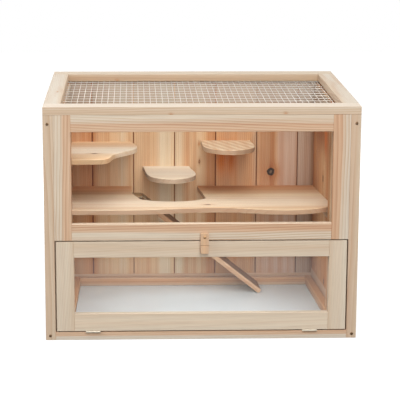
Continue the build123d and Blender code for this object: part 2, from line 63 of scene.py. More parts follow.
def plank(name, grain, across, edges, bands, heart, knots=(), flares=(), edge=None, painted_shade=None,
          painted_top_face=None, boards=None, ring=0.0036, lines=0.5, streaks=0.3, wander=0.004, lean=0.0,
          seed=0.0):
    """Bare softwood as sawn from a log, its grain along one axis and its width across another.

    edges   where its width starts and ends
    bands   its heartwood and sapwood from edge to edge, each (share of the width, tone)
    heart   place of the log's middle, across and deep, and how far each leans along the grain
    knots   each (along, across, radius, stretch, core, rim); the grain parts round them
    flares  ruddier or paler wood, each (along, across, half length, half width, tone)
    edge    depth, from and to, of the sawn edge beside the planed face, its stain, and where
            flares  ruddier or paler patches, each (along, across, half length, half width, tone);
            some are the wood's own colour, others painted light and painted reflections
    painted_shade  where along the grain a painted shade starts, where it is strongest, and its
        tone there; on a board with a sawn edge this is only on the room's side
    painted_top_face  a tone painted on its upper face, as a highlight or as a shade
    boards  first seam and pitch of a wall whose boards share one material
    ring    width of a year ring; lines and streaks say how strong its figure is
    wander  how far the grain strays; lean is the slant of the bands; seed picks the stick
    """
    late_wood = tone(205, 155, 110)
    resin = tone(226, 180, 136)
    knot_halo = tone(222, 180, 138)
    knot_flame = tone(184, 132, 94)
    wood = bpy.data.materials.new(name)
    wood.use_nodes = True
    tree = wood.node_tree
    shader = tree.nodes["Principled BSDF"]

    def add(kind, *values, **settings):
        made = tree.nodes.new("ShaderNode" + kind)
        for setting, value in settings.items():
            setattr(made, setting, value)
        for socket, value in zip(made.inputs, values):
            if isinstance(value, bpy.types.NodeSocket):
                tree.links.new(value, socket)
            else:
                socket.default_value = value
        return made

    def work(operation, *values):
        return add("Math", *values, operation=operation).outputs[0]

    def fit(value, low, high, first, last):
        """Carry a value from one range to another, held at its ends."""
        return add("MapRange", value, low, high, first, last).outputs[0]

    def bell(value, width):
        """1 at nought, falling away over a width on both sides."""
        return work("EXPONENT", work("MULTIPLY", work("POWER", value, 2), -1 / width ** 2))

    def cover(strength, under, shade):
        return add("MixRGB", strength, under, shade).outputs[0]

    def stain(strength, under, shade):
        return add("MixRGB", strength, under, shade, blend_type="MULTIPLY").outputs[0]

    def graded(value, stops):
        """Tones along a value, and how far each one covers."""
        ramp = add("ValToRGB", value)
        marks = ramp.color_ramp.elements
        while len(marks) < len(stops):
            marks.new(0.5)
        for mark, (position, shade) in zip(marks, stops):
            mark.position = position
            mark.color = shade
        return ramp.outputs

    def facing(axis):
        return add("SeparateXYZ", add("TexCoord").outputs["Normal"]).outputs[axis]

    def speckle(stretch, thickness, detail):
        """Chance figure in this stick: its scale along the grain and across it, and its detail."""
        scaled = [work("MULTIPLY", along, stretch), work("MULTIPLY", side, thickness),
                  work("MULTIPLY_ADD", deep, thickness, stock)]
        noise = add("TexNoise", add("CombineXYZ", *scaled).outputs[0])
        noise.inputs["Scale"].default_value = 1
        noise.inputs["Detail"].default_value = detail
        return noise.outputs[0]

    # Along the grain, across the width, and into the depth
    place = add("SeparateXYZ", add("TexCoord").outputs["Object"])
    along, side = place.outputs[grain], place.outputs[across]
    deep = place.outputs[({"X", "Y", "Z"} - {grain, across}).pop()]
    depth = work("ABSOLUTE", deep)

    # Each board of a wall comes from another place in the log
    stock, turned = seed, 0.0
    if boards:
        first_seam, pitch = boards
        number = work("FLOOR", work("DIVIDE", work("SUBTRACT", side, first_seam), pitch))
        stock = work("MULTIPLY_ADD", number, 3.7, seed)
        turned = work("MULTIPLY", work("SINE", work("MULTIPLY", number, 2.3)), 0.06)

    # The grain wanders, and parts round the knots, which have ragged rims
    flow = work("MULTIPLY_ADD", work("SUBTRACT", speckle(3, 12, 2), 0.5), 2 * wander, side)
    eyes = []
    for knot_along, knot_across, radius, stretch, core, rim in knots:
        run = work("DIVIDE", work("SUBTRACT", along, knot_along), radius * stretch)
        off = work("DIVIDE", work("SUBTRACT", side, knot_across), radius)
        reach = work("SQRT", work("ADD", work("POWER", run, 2), work("POWER", off, 2)))
        ragged = work("MULTIPLY", work("SUBTRACT", speckle(190, 190, 1), 0.5), 0.6)
        reach = work("ADD", reach, ragged)
        near = bell(reach, 2)
        parted = work("MULTIPLY", work("MULTIPLY", off, near), 0.75 * radius)
        flow = work("SUBTRACT", flow, parted)
        flame = work("MULTIPLY", bell(off, 0.4), bell(run, 1.7))
        eyes.append((reach, near, flame, core, rim))

    # Year rings: the distance from the log's middle, pale early wood closing in a darker line
    heart_across, heart_deep, lean_across, lean_deep = heart
    middle_across = work("MULTIPLY_ADD", along, lean_across, heart_across)
    middle_deep = work("MULTIPLY_ADD", along, lean_deep, heart_deep)
    from_across = work("SUBTRACT", flow, middle_across)
    from_deep = work("ADD", work("SUBTRACT", deep, middle_deep), turned)
    distance = work("SQRT", work("ADD", work("POWER", from_across, 2), work("POWER", from_deep, 2)))
    uneven = work("MULTIPLY", speckle(6, 40, 1), 0.9)
    late = work("POWER", work("FRACT", work("ADD", work("DIVIDE", distance, ring), uneven)), 2.4)
    strong = fit(speckle(1.6, 26, 2), 0.36, 0.64, 0.25 * lines, 1.6 * lines)
    fibre = speckle(22, 900, 2)

    # Heartwood and sapwood from edge to edge, and flares over them, some of them painted light,
    # weaker on the outside
    slanted = work("MULTIPLY_ADD", along, -lean, flow)
    colour = graded(fit(slanted, edges[0], edges[1], 0, 1), bands)[0]
    for flare_along, flare_across, long, wide, shade in flares:
        glow = work("MULTIPLY", bell(work("SUBTRACT", along, flare_along), long),
                    bell(work("SUBTRACT", flow, flare_across), wide))
        if painted_shade:
            glow = work("MULTIPLY", glow, fit(depth, edge[0], edge[1], 1, 0.25))
        colour = cover(glow, colour, shade)

    # Rings, resin streaks and single fibres
    colour = stain(work("MULTIPLY", late, strong), colour, late_wood)
    colour = stain(fit(speckle(1.1, 70, 2), 0.46, 0.68, 0, streaks), colour, resin)
    threads = add("VectorMath", colour, operation="SCALE")
    tree.links.new(fit(fibre, 0.3, 0.7, 0.93, 1.06), threads.inputs["Scale"])
    colour = threads.outputs[0]

    # Knots: a warm halo, a flame along the grain, and a dark rim round the core
    for reach, near, flame, core, rim in eyes:
        colour = stain(work("MULTIPLY", near, 0.45), colour, knot_halo)
        colour = stain(work("MULTIPLY", flame, 0.6), colour, knot_flame)
        shade, strength = graded(reach, [
            (0, core), (0.24, core), (0.48, rim), (0.84, rim[:3] + [0.95]), (1, rim[:3] + [0])])
        colour = cover(strength, colour, shade)

    # The sawn edge, the painted shade toward one end, and the painted highlight or shade on the
    # upper face
    if edge:
        edge_start, edge_end, edge_tone, *hiding = edge
        fade = 0.0006
        inside = work("MULTIPLY", fit(depth, edge_start, edge_start + fade, 0, 1),
                      fit(depth, edge_end - fade, edge_end, 1, 0))
        if painted_shade:
            endwise = work("ABSOLUTE", facing(grain))
            inside = work("MULTIPLY", inside, fit(endwise, 0.4, 0.7, 1, 0))
            inside = work("MULTIPLY", inside, fit(along, painted_shade[0], painted_shade[1], 1, 0.2))
        if hiding:
            colour = cover(work("MULTIPLY", inside, hiding[0]), colour, edge_tone)
        else:
            colour = stain(inside, colour, edge_tone)
    # Painted shade: the wood greys toward one end of its grain, in place of shade falling there
    if painted_shade:
        shade_from, shade_to, shade_tone = painted_shade
        shade_mask = fit(along, shade_from, shade_to, 0, 0.8)
        if edge:
            shade_mask = work("MULTIPLY", shade_mask, fit(depth, edge_start, edge_start + 0.003, 1, 0))
        colour = cover(shade_mask, colour, shade_tone)
    # Painted light and shade: upward faces take a lighter or darker tone for how light falls on
    # them
    if painted_top_face:
        colour = cover(fit(facing("Z"), 0.3, 0.7, 0, 0.8), colour, painted_top_face)

    # Gloss and relief follow the fibres and the rings
    tree.links.new(colour, shader.inputs["Base Color"])
    tree.links.new(work("MULTIPLY_ADD", fibre, 0.16, 0.5), shader.inputs["Roughness"])
    relief = add("Bump")
    relief.inputs["Strength"].default_value = 0.35
    relief.inputs["Distance"].default_value = 0.0004
    tree.links.new(work("MULTIPLY_ADD", late, 0.2, fibre), relief.inputs["Height"])
    tree.links.new(relief.outputs[0], shader.inputs["Normal"])
    shader.inputs["Specular IOR Level"].default_value = 0.3
    return wood


def dress(material, *nodes):
    """Give CAD nodes their finish."""
    for node in nodes:
        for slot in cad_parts[node].material_slots:
            slot.material = material


dress(plank("fir_front_post_left", "Z", "X", (-0.300, -0.274),
            bands=((0, blush), (0.5, beige), (1, blush)), heart=(-0.33, -0.13, 0.01, 0.02),
            ring=0.006, lines=0.25, streaks=0.12, wander=0.006, seed=1.7), "front_post_left")
dress(plank("fir_front_post_right", "Z", "X", (0.274, 0.300),
            bands=((0, blush), (0.5, blush), (1, beige)), heart=(0.33, -0.12, -0.01, 0.02),
            ring=0.006, lines=0.22, streaks=0.12, wander=0.006, seed=4.1), "front_post_right")
dress(plank("fir_rear_post_left", "Z", "Y", (0.147, 0.185),
            bands=((0, beige), (0.5, blush), (1, salmon)), heart=(0.23, -0.36, 0.02, 0.0),
            lines=0.35, seed=7.3), "rear_post_left")
dress(plank("fir_rear_post_right", "Z", "Y", (0.147, 0.185),
            bands=((0, salmon), (0.4, beige), (1, blush)), heart=(0.22, 0.35, -0.02, 0.01),
            lines=0.35, seed=7.9), "rear_post_right")

# Sole rails, front sill and top rails
# Fir battens that tie the posts at the floor and under the lid, screwed from outside. The sill
# under the door shows salmon heartwood above and cream sapwood below.
ash_cream = tone(206, 192, 172)
lid_cream = tone(204, 193, 177)
dress(plank("fir_left_sole", "Y", "Z", (0.0, 0.063),
            bands=((0, ash_cream), (0.45, beige), (0.7, salmon), (1, blush)),
            heart=(0.075, -0.32, 0.03, 0.02), lines=0.4, seed=2.2), "sole_rail_left")
dress(plank("fir_right_sole", "Y", "Z", (0.0, 0.063),
            bands=((0, beige), (0.4, ash_cream), (0.7, blush), (1, salmon)),
            heart=(-0.02, 0.33, -0.03, 0.02), lines=0.4, seed=2.8), "sole_rail_right")
dress(plank("fir_back_sole", "X", "Z", (0.0, 0.051),
            bands=((0, beige), (0.5, blush), (1, salmon)),
            heart=(0.09, 0.21, 0.02, -0.01), lines=0.4, seed=3.9), "sole_rail_back")
dress(plank("fir_sill", "X", "Z", (0.0, 0.0153),
            bands=((0, lid_cream), (0.42, lid_cream), (0.58, salmon), (1, salmon)),
            heart=(0.03, -0.16, 0.004, 0.02), ring=0.0028, lines=0.3, wander=0.0015, seed=5.5),
      "front_sill")
dress(plank("fir_left_top_rail", "Y", "Z", (0.409, 0.474),
            bands=((0, blush), (0.5, beige), (1, ash_cream)),
            heart=(0.52, -0.34, 0.12, 0.0), lines=0.4, seed=8.1), "side_top_rail_left")
dress(plank("fir_right_top_rail", "Y", "Z", (0.409, 0.474),
            bands=((0, beige), (0.6, ash_cream), (1, blush)),
            heart=(0.37, 0.33, 0.1, 0.0), lines=0.4, seed=8.8), "side_top_rail_right")
dress(plank("fir_back_top_rail", "X", "Z", (0.4386, 0.4786),
            bands=((0, beige), (0.6, salmon), (1, blush)),
            heart=(0.41, 0.21, 0.01, 0.0), lines=0.4, seed=9.4), "back_top_rail")

# Floor: bearers, sheet and beads
# A white faced hardboard sheet lies on three bearers and is held down by a planed bead along the
# back and both sides. The white face is a thin hard film with a faint orange-peel.
honey = tone(204, 160, 116)
tan = tone(192, 150, 112)
dress(plank("fir_bearer", "X", "Y", (-0.17, 0.16),
            bands=((0, beige), (0.5, blush), (1, beige)),
            heart=(0.0, -0.05, 0.02, 0.02), seed=0.6), "floor_bearers")
white_face = bpy.data.materials.new("white_faced_hardboard")
white_face.use_nodes = True
face_tree = white_face.node_tree
face_shader = face_tree.nodes["Principled BSDF"]
face_place = face_tree.nodes.new("ShaderNodeTexCoord")
scuffs = face_tree.nodes.new("ShaderNodeTexNoise")
scuffs.inputs["Scale"].default_value = 14
scuffs.inputs["Detail"].default_value = 5
face_tree.links.new(face_place.outputs["Object"], scuffs.inputs["Vector"])
face_tint = face_tree.nodes.new("ShaderNodeValToRGB")
face_tint.color_ramp.elements[0].position = 0.35
face_tint.color_ramp.elements[0].color = tone(211, 223, 229)
face_tint.color_ramp.elements[1].position = 0.7
face_tint.color_ramp.elements[1].color = tone(218, 230, 236)
face_tree.links.new(scuffs.outputs[0], face_tint.inputs[0])
face_tree.links.new(face_tint.outputs[0], face_shader.inputs["Base Color"])
face_gloss = face_tree.nodes.new("ShaderNodeMapRange")
face_gloss.inputs["To Min"].default_value = 0.28
face_gloss.inputs["To Max"].default_value = 0.46
face_tree.links.new(scuffs.outputs[0], face_gloss.inputs[0])
face_tree.links.new(face_gloss.outputs[0], face_shader.inputs["Roughness"])
peel = face_tree.nodes.new("ShaderNodeTexNoise")
peel.inputs["Scale"].default_value = 260
face_tree.links.new(face_place.outputs["Object"], peel.inputs["Vector"])
peel_relief = face_tree.nodes.new("ShaderNodeBump")
peel_relief.inputs["Strength"].default_value = 0.12
peel_relief.inputs["Distance"].default_value = 0.0002
face_tree.links.new(peel.outputs[0], peel_relief.inputs["Height"])
face_tree.links.new(peel_relief.outputs[0], face_shader.inputs["Normal"])
dress(white_face, "floor_panel")
dress(plank("fir_back_bead", "X", "Z", (0.027, 0.045),
            bands=((0, blush), (0.5, tan), (0.8, honey), (1, salmon)),
            heart=(0.07, 0.17, 0.003, 0.0), wander=0.0015, seed=6.2), "floor_bead_back")
dress(plank("fir_side_bead", "Y", "Z", (0.027, 0.045),
            bands=((0, blush), (0.5, tan), (0.8, honey), (1, honey)),
            heart=(0.07, 0.0, 0.003, 0.0), wander=0.0015, seed=6.9),
      "floor_bead_left", "floor_bead_right")

# Back wall
# Seven tongue-and-groove boards stand on the sole rail, each from another place in the log: ruddy
# heartwood beside pale sapwood. A shadow gap is left between the faces, over the tongues.
ember = tone(183, 128, 82)
amber = tone(212, 180, 142)
straw = tone(206, 170, 131)
milky = tone(212, 193, 163)
reflection_rose = tone(192, 164, 143)
reflection_grey = tone(184, 160, 140)
painted_top_grey = tone(157, 145, 131)
dark_core = tone(104, 82, 62)
black_rim = tone(38, 26, 19)
brown_rim = tone(126, 82, 52)


def back_board(number, edges, bands, heart, **figure):
    """One lining board: its joint edges are stained, and its top has a painted grey shade."""
    joint = (0.1604, 0.1714, tone(172, 128, 92))
    # Painted shade: the top of the room face greys toward the lid, in place of the shade under it
    top = (0.362, 0.434, painted_top_grey)
    board = plank(f"fir_back_board_{number}", "Z", "X", edges, bands, heart, edge=joint, painted_shade=top,
                  seed=10.0 + number, **figure)
    dress(board, f"back_board_{number}")


# Board 1's paler flare at mid height is painted light, lifting the shade under the left shelf
back_board(1, (-0.274, -0.2198), ((0, ember), (0.5, tan), (0.8, honey), (1, ember)),
           (-0.36, 0.20, 0.01, 0.02), lines=0.35, streaks=0.5,
           flares=((0.285, -0.232, 0.06, 0.034, tone(212, 166, 124)),))
back_board(2, (-0.218, -0.1306), ((0, ember), (0.16, straw), (0.42, amber), (0.6, amber),
                                  (0.72, milky), (0.86, amber), (1, straw)),
           (-0.29, 0.21, 0.015, -0.02), lines=0.3, streaks=0.5)
back_board(3, (-0.1288, -0.0414), ((0, amber), (0.22, straw), (0.36, straw), (0.5, amber),
                                   (0.66, milky), (0.86, milky), (1, amber)),
           (0.03, 0.22, -0.02, 0.03), lines=0.25, streaks=0.4)
back_board(4, (-0.0396, 0.0478), ((0, milky), (0.16, milky), (0.27, straw), (0.42, amber),
                                  (0.62, amber), (0.8, honey), (1, ember)),
           (-0.12, 0.21, 0.02, 0.03), lines=0.3, streaks=0.5,
           knots=((0.2999, 0.0135, 0.0022, 2.2, ember, brown_rim),
                  (0.3386, 0.0123, 0.002, 2, ember, ember),
                  (0.24, 0.0113, 0.002, 2, ember, ember)))
back_board(5, (0.0496, 0.137), ((0, honey), (0.3, tan), (0.45, honey), (0.6, tan),
                                (0.85, honey), (1, beige)),
           (0.2, 0.21, 0.01, 0.02), lines=0.35, streaks=0.4,
           flares=((0.305, 0.062, 0.038, 0.015, tone(194, 110, 34)),
                   (0.306, 0.083, 0.034, 0.009, tone(190, 108, 34))))
# Board 6's rose right half and its pale lower flare are painted reflections of the acrylic sheets
back_board(6, (0.1388, 0.2262), ((0, tan), (0.3, tone(180, 137, 99)), (0.42, tone(176, 126, 84)),
                                 (0.48, tan), (0.56, reflection_rose), (1, reflection_rose)),
           (0.05, 0.2, 0.01, 0.02), lines=0.3, streaks=0.4,
           flares=((0.1, 0.19, 0.09, 0.06, tone(208, 180, 160)),),
           knots=((0.2772, 0.1693, 0.0092, 1.0, dark_core, black_rim),))
# Board 7's grey left half is a painted reflection of the window's sheet; toward the corner it
# darkens
back_board(7, (0.228, 0.274), ((0, reflection_grey), (0.5, reflection_grey), (0.66, tone(158, 126, 99)),
                               (0.86, tone(124, 88, 61)), (1, tone(112, 76, 50))),
           (0.36, 0.20, -0.01, 0.02), lines=0.3)

# Side walls
# Four boards of the same stock a side, their tops cut to the slope of the lid, and an upright
# batten over their front ends in each corner.
rust = tone(184, 112, 58)
wheat = tone(224, 202, 168)


def side_wall(side, bands, heart, **figure):
    """The boards of one side, with stained joints and a painted grey shade at their tops as at the
    back.
    """
    joint = (0.2624, 0.2734, tone(212, 178, 144))
    # Painted shade: the tops of the room face grey toward the lid, in place of the shade under it
    top = (0.386, 0.44, painted_top_grey)
    first_seam, pitch = -0.1696, 0.0892
    wall = plank(f"fir_{side}_wall", "Z", "Y", (-0.17, 0.16), bands, heart, edge=joint, painted_shade=top,
                 boards=(first_seam, pitch), **figure)
    dress(wall, f"{side}_wall_boards")


side_wall("left", ((0, salmon), (0.25, honey), (0.5, salmon), (0.75, beige), (1, honey)),
          (0.2, -0.36, 0.01, 0.02), lines=0.35, seed=21.0)
# Painted shade: the right wall darkens into its back corner, in place of the shade there
side_wall("right", ((0, ember), (0.2, amber), (0.36, rust), (0.5, amber), (0.7, honey), (0.82, tan),
                    (0.92, ember), (1, tone(150, 98, 60))),
          (0.25, 0.33, 0.01, 0.02), lines=0.4, streaks=0.5, seed=22.0,
          flares=((0.1, -0.05, 0.07, 0.1, tone(184, 124, 64)),
                  (0.375, 0.05, 0.04, 0.12, tone(152, 98, 60)),
                  (0.372, -0.008, 0.04, 0.018, tone(192, 106, 42))),
          knots=((0.2822, 0.0193, 0.006, 1.4, brown_rim, black_rim),
                 (0.0724, -0.0162, 0.006, 1, ember, black_rim)))
dress(plank("fir_corner_batten", "Z", "Y", (-0.1696, -0.1196),
            bands=((0, wheat), (0.3, wheat), (0.45, amber), (0.75, ember), (1, amber)),
            heart=(-0.28, 0.0, 0.005, 0.005), lines=0.35, seed=23.0),
      "corner_batten_left", "corner_batten_right")

# Fixed window
# Two fir stiles with two rails between them, glued and pinned, and a clear acrylic sheet let into
# a groove all round. The sheet is clean but not perfectly so, and lifts a faint veil off the room.
dress(plank("fir_window_top", "X", "Z", (0.4026, 0.4346),
            bands=((0, salmon), (0.45, salmon), (0.56, ash_cream), (1, ash_cream)),
            heart=(0.36, -0.15, -0.02, 0.02), ring=0.0042, lines=0.65, seed=31.0),
      "window_rail_top")
# The bottom rail's upper face carries a painted highlight
dress(plank("fir_window_bottom", "X", "Z", (0.1948, 0.2268),
            bands=((0, ash_cream), (0.45, ash_cream), (0.56, salmon), (1, salmon)),
            heart=(0.27, -0.15, 0.015, 0.01), ring=0.0042, lines=0.65,
            painted_top_face=tone(236, 219, 194), seed=32.0), "window_rail_bottom")
dress(plank("fir_window_left", "Z", "X", (-0.281, -0.248),
            bands=((0, ash_cream), (0.45, ash_cream), (0.58, salmon), (1, salmon)),
            heart=(-0.21, -0.15, 0.01, 0.02), ring=0.0052, lines=0.55, wander=0.006, seed=33.0),
      "window_stile_left")
dress(plank("fir_window_right", "Z", "X", (0.248, 0.281),
            bands=((0, salmon), (0.46, salmon), (0.56, ash_cream), (1, lid_cream)),
            heart=(0.21, -0.15, 0.01, 0.02), ring=0.0052, lines=0.5, wander=0.006, seed=34.0),
      "window_stile_right")


def clear_sheet(name, veil):
    """Clear acrylic, with the fine wiping marks that show only in its gloss."""
    sheet = bpy.data.materials.new(name)
    sheet.use_nodes = True
    tree = sheet.node_tree
    shader = tree.nodes["Principled BSDF"]
    place = tree.nodes.new("ShaderNodeTexCoord")
    wiped = tree.nodes.new("ShaderNodeMapping")
    wiped.inputs["Rotation"].default_value = (0, 0.5, 0)
    wiped.inputs["Scale"].default_value = (6, 6, 90)
    marks = tree.nodes.new("ShaderNodeTexNoise")
    marks.inputs["Scale"].default_value = 1.5
    marks.inputs["Detail"].default_value = 4
    gloss = tree.nodes.new("ShaderNodeMapRange")
    gloss.inputs["To Min"].default_value = 0.02
    gloss.inputs["To Max"].default_value = 0.12
    tint = tree.nodes.new("ShaderNodeValToRGB")
    tint.color_ramp.elements[0].color = tone(230, 236, 240)
    tint.color_ramp.elements[1].color = tone(238, 244, 248)
    tree.links.new(place.outputs["Object"], wiped.inputs["Vector"])
    tree.links.new(wiped.outputs[0], marks.inputs["Vector"])
    tree.links.new(marks.outputs[0], gloss.inputs[0])
    tree.links.new(marks.outputs[0], tint.inputs[0])
    tree.links.new(tint.outputs[0], shader.inputs["Base Color"])
    tree.links.new(gloss.outputs[0], shader.inputs["Roughness"])
    shader.inputs["IOR"].default_value = 1.49
    shader.inputs["Alpha"].default_value = veil
    return sheet


dress(clear_sheet("window_acrylic", 0.006), "window_pane")

# Platform and its cleats
# A wide glued fir board across the cage with a curved front edge, resting on a cleat at each side.
# Ruddy heartwood lies at the wall and along the front, pale wood between.
sapwood = tone(234, 218, 193)
butter = tone(231, 206, 171)
# Its two pale flares on the left are painted light, lifting the shade on the platform's left half
dress(plank("fir_platform", "X", "Y", (-0.149, 0.160),
            bands=((0, butter), (0.1, butter), (0.17, sapwood), (0.44, sapwood), (0.6, wheat),
                   (0.8, tan), (1, ember)),
            heart=(-0.2, 0.22, 0.02, 0.01), ring=0.006, lines=0.35, wander=0.008,
            flares=((-0.2, -0.05, 0.13, 0.09, tone(241, 227, 205)),
                    (-0.22, 0.135, 0.12, 0.06, tone(246, 198, 155))),
            knots=((0.0169, -0.0843, 0.004, 2, black_rim, brown_rim),),
            edge=(0.2371, 0.2459, tone(179, 144, 117), 0.8), seed=41.0), "platform")
dress(plank("fir_cleat", "Y", "Z", (0.2245, 0.2365), bands=((0, salmon), (1, blush)),
            heart=(0.2, 0.0, 0.02, 0.0), seed=42.0),
      "platform_cleat_left", "platform_cleat_right")

# Three shelves
# Sawn to smooth curves from the same boards and fixed to the walls: one on the left wall, two on
# the back wall, with their edges softened by sanding.
cream = tone(238, 226, 206)
stripe_pale, stripe_ruddy, stripe_count = tone(229, 208, 178), tone(208, 171, 134), 16


def sawn_edge(shelf, *finish):
    """The depth of a shelf's sawn edge, short of the sanded bevels, with its finish."""
    bevel = 0.0006
    low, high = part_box(shelf)
    return (low[2] + bevel, high[2] - bevel) + finish


dress(plank("fir_left_shelf", "X", "Y", (-0.135, 0.160),
            bands=((0, tone(222, 191, 152)), (0.22, butter), (0.36, cream), (0.55, cream),
                   (0.78, tone(224, 192, 157)), (1, tone(240, 206, 163))),
            heart=(-0.3, 0.4, 0.03, 0.02), ring=0.006, lines=0.3, wander=0.008,
            knots=((-0.2084, -0.0423, 0.0046, 1.5, black_rim, brown_rim),),
            edge=sawn_edge("left_shelf", tone(230, 222, 214)), seed=51.0), "left_shelf")
dress(plank("fir_centre_shelf", "X", "Y", (-0.026, 0.160),
            bands=((0, sapwood), (0.5, tone(222, 208, 188)), (1, tone(238, 224, 202))),
            heart=(0.3, 0.4, 0.3, 0.08), ring=0.008, lines=0.2, streaks=0.15, wander=0.008,
            edge=sawn_edge("centre_shelf", tone(200, 190, 186)), seed=52.0), "centre_shelf")
dress(plank("fir_right_shelf", "Y", "X", (0.02, 0.18),
            bands=[(step / stripe_count, stripe_pale if step % 2 else stripe_ruddy)
                   for step in range(stripe_count + 1)],
            heart=(-0.3, 0.42, -0.3, 0.0), ring=0.02, lines=0.1, wander=0.002, lean=-0.3,
            edge=sawn_edge("right_shelf", tone(163, 133, 107), 0.85), seed=53.0), "right_shelf")

# Ramp
# A plain fir board with a rounded foot, hung from the platform by a steel strap hinge. Its upper
# face has a painted shade, darker than its sawn edges, and its upper end a painted shadow.
# Painted shade: the upper face is darker, and the upper end darkens under the platform
dress(plank("fir_ramp", "X", "Y", (0.072, 0.144),
            bands=((0, tone(206, 172, 138)), (0.5, honey), (1, tan)),
            heart=(0.2, 0.12, 0.02, -0.78), lines=0.35, painted_shade=(0.02, -0.03, tone(118, 81, 50)),
            painted_top_face=tone(112, 80, 58), seed=54.0), "ramp")

# Door
# The drop-down front: four fir strips round a second acrylic sheet, paler and plainer wood than
# the window above, hung on two butt hinges at the sill.
dress(plank("fir_door_top", "X", "Z", (0.1618, 0.1928),
            bands=((0, ash_cream), (0.6, beige), (1, ash_cream)),
            heart=(0.12, -0.12, 0.05, 0.0), lines=0.15, streaks=0.2, seed=61.0), "door_rail_top")
dress(plank("fir_door_bottom", "X", "Z", (0.0173, 0.0513),
            bands=((0, ash_cream), (0.5, tone(212, 196, 174)), (1, ash_cream)),
            heart=(0.0, -0.12, 0.05, 0.0), lines=0.15, streaks=0.2, seed=62.0), "door_rail_bottom")
dress(plank("fir_door_left", "Z", "X", (-0.2786, -0.2446),
            bands=((0, ash_cream), (0.6, ash_cream), (1, beige)),
            heart=(-0.2, -0.12, 0.1, 0.0), lines=0.14, streaks=0.15, seed=63.0), "door_stile_left")
dress(plank("fir_door_right", "Z", "X", (0.2446, 0.2786),
            bands=((0, beige), (0.5, ash_cream), (1, ash_cream)),
            heart=(0.2, -0.12, 0.1, 0.0), lines=0.14, streaks=0.15, seed=64.0), "door_stile_right")
dress(clear_sheet("door_acrylic", 0.048), "door_pane")

# Hinges and pins
# Small pressed-steel hinges, rolled round a steel pin: bright zinc butts on the door and the lid,
# and a darker strap under the platform for the ramp.


def metal(name, dark, bright, rough, metallic=1, under=None):
    """Plated steel: the crystals of the plating mottle it, and its gloss varies with them. Under is
    the tone of a painted shade on its downward faces."""
    plate = bpy.data.materials.new(name)
    plate.use_nodes = True
    tree = plate.node_tree
    shader = tree.nodes["Principled BSDF"]
    shader.inputs["Metallic"].default_value = metallic
    place = tree.nodes.new("ShaderNodeTexCoord")
    mottle = tree.nodes.new("ShaderNodeTexNoise")
    mottle.inputs["Scale"].default_value = 420
    mottle.inputs["Detail"].default_value = 3
    tree.links.new(place.outputs["Object"], mottle.inputs["Vector"])
    gloss = tree.nodes.new("ShaderNodeMapRange")
    gloss.inputs["To Min"].default_value = rough - 0.08
    gloss.inputs["To Max"].default_value = rough + 0.1
    tree.links.new(mottle.outputs[0], gloss.inputs[0])
    tree.links.new(gloss.outputs[0], shader.inputs["Roughness"])
    tint = tree.nodes.new("ShaderNodeValToRGB")
    tint.color_ramp.elements[0].position = 0.3
    tint.color_ramp.elements[0].color = dark
    tint.color_ramp.elements[1].position = 0.7
    tint.color_ramp.elements[1].color = bright
    tree.links.new(mottle.outputs[0], tint.inputs[0])
    colour = tint.outputs[0]
    # Painted shade: downward faces take the darker tone given by under
    if under:
        facing = tree.nodes.new("ShaderNodeSeparateXYZ")
        tree.links.new(place.outputs["Normal"], facing.inputs[0])
        downward = tree.nodes.new("ShaderNodeMapRange")
        downward.inputs["From Min"].default_value = -0.3
        downward.inputs["From Max"].default_value = -0.75
        tree.links.new(facing.outputs["Z"], downward.inputs[0])
        shaded_below = tree.nodes.new("ShaderNodeMixRGB")
        shaded_below.inputs[2].default_value = under
        tree.links.new(downward.outputs[0], shaded_below.inputs[0])
        tree.links.new(colour, shaded_below.inputs[1])
        colour = shaded_below.outputs[0]
    tree.links.new(colour, shader.inputs["Base Color"])
    return plate


zinc = metal("zinc_plate", tone(166, 157, 142), tone(188, 179, 163), rough=0.45)
strap_steel = metal("strap_steel", tone(146, 128, 100), tone(188, 170, 138), rough=0.45)
dress(zinc, "door_hinge_sill_leaves", "door_hinge_door_leaves", "roof_hinge_frame_leaves",
      "roof_hinge_roof_leaves", "hinge_pins")
dress(strap_steel, "ramp_hinge_platform_leaf", "ramp_hinge_ramp_leaf")

# Screws
# Wood screws with low crowned heads and a cross recess, each turned as the driver left it: bronzed
# in the posts and the lid's ends, bright in the hinge leaves.


def gather(many, one):
    """Put a finished shape with the others of its kind, and let it go."""
    single = bpy.data.meshes.new("single")
    one.to_mesh(single)
    one.free()
    many.from_mesh(single)
    bpy.data.meshes.remove(single)


def mount(name, body, shape, finish):
    """Make a finished shape a piece that rides on a body."""
    mesh = bpy.data.meshes.new(name)
    shape.to_mesh(mesh)
    shape.free()
    mesh.materials.append(finish)
    piece = bpy.data.objects.new(name, mesh)
    bpy.context.scene.collection.objects.link(piece)
    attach(piece, body)
    return piece


